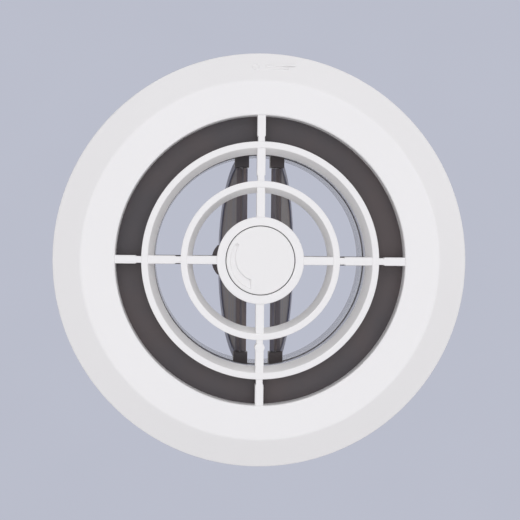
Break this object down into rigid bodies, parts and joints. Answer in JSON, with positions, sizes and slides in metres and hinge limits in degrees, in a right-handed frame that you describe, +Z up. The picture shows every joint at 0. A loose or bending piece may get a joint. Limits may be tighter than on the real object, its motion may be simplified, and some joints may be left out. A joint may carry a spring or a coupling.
{
  "type": "ceiling air diffuser",
  "caption": "Round white ceiling air diffuser with ringed grille, centre knob and two half-disc dampers that fold back in a dark spigot.",
  "frame": {"origin": "duct axis at the ceiling plane, which is the back face of the flange plate and the root of the spigot", "axes": "+Z up along the duct axis, away from the room; the hinge rods lie along Y and the folded dampers stand to either side along X"},
  "size_m": [0.18, 0.18, 0.0677],
  "materials": {
    "white_abs": "fine satin moulded white ABS",
    "white_knob": "satin moulded white ABS",
    "smoke_plastic": "semi-gloss smoke brown, slightly translucent at thin edges",
    "smoke_flap": "gloss smoke plastic",
    "silicone": "bluish clear silicone",
    "foam": "closed-cell foam",
    "black_rubber": "matt rubber",
    "zinc_steel": "zinc plated",
    "steel_rod": "drawn stainless rod",
    "acetal": "natural acetal"
  },
  "bodies": {
    "mount_frame": {"duct_body": "smoke_plastic", "face_flange": "white_abs", "grille_core": "white_abs", "ceiling_gasket": "foam", "hub_screws": "zinc_steel", "guide_cover": "smoke_plastic", "cover_screws": "zinc_steel", "spindle_bush": "acetal", "friction_washer": "black_rubber", "hinge_rod_left": "steel_rod", "hinge_rod_right": "steel_rod"},
    "knob": {"knob_cap": "white_knob", "knob_spindle": "acetal", "spindle_clip": "zinc_steel"},
    "slider": {"crosshead": "acetal", "drive_pin_left": "steel_rod", "drive_pin_right": "steel_rod"},
    "damper_left": {"flap_left": "smoke_flap", "flap_seal_left": "silicone"},
    "damper_right": {"flap_right": "smoke_flap", "flap_seal_right": "silicone"}
  },
  "joints": [
    {"name": "knob_turn", "type": "hinge", "parent": "mount_frame", "child": "knob", "pos_m": [0, 0, -0.008], "axis": [0, 0, 1], "range_deg": [0, 100]},
    {"name": "crosshead_slide", "type": "slide", "parent": "mount_frame", "child": "slider", "axis": [0, 0, 1], "range_m": [0, 0.00668]},
    {"name": "left_damper_fold", "type": "hinge", "parent": "mount_frame", "child": "damper_left", "pos_m": [-0.00785, 0, 0.0185], "axis": [0, 1, 0], "range_deg": [-77, 0]},
    {"name": "right_damper_fold", "type": "hinge", "parent": "mount_frame", "child": "damper_right", "pos_m": [0.00785, 0, 0.0185], "axis": [0, 1, 0], "range_deg": [0, 77]}
  ],
  "couplings": [
    {"joint": "knob_turn", "follows": "crosshead_slide", "rad_per_m": 261.28},
    {"joint": "left_damper_fold", "follows": "crosshead_slide", "rad_per_m": -201.18},
    {"joint": "right_damper_fold", "follows": "crosshead_slide", "rad_per_m": 201.18}
  ]
}
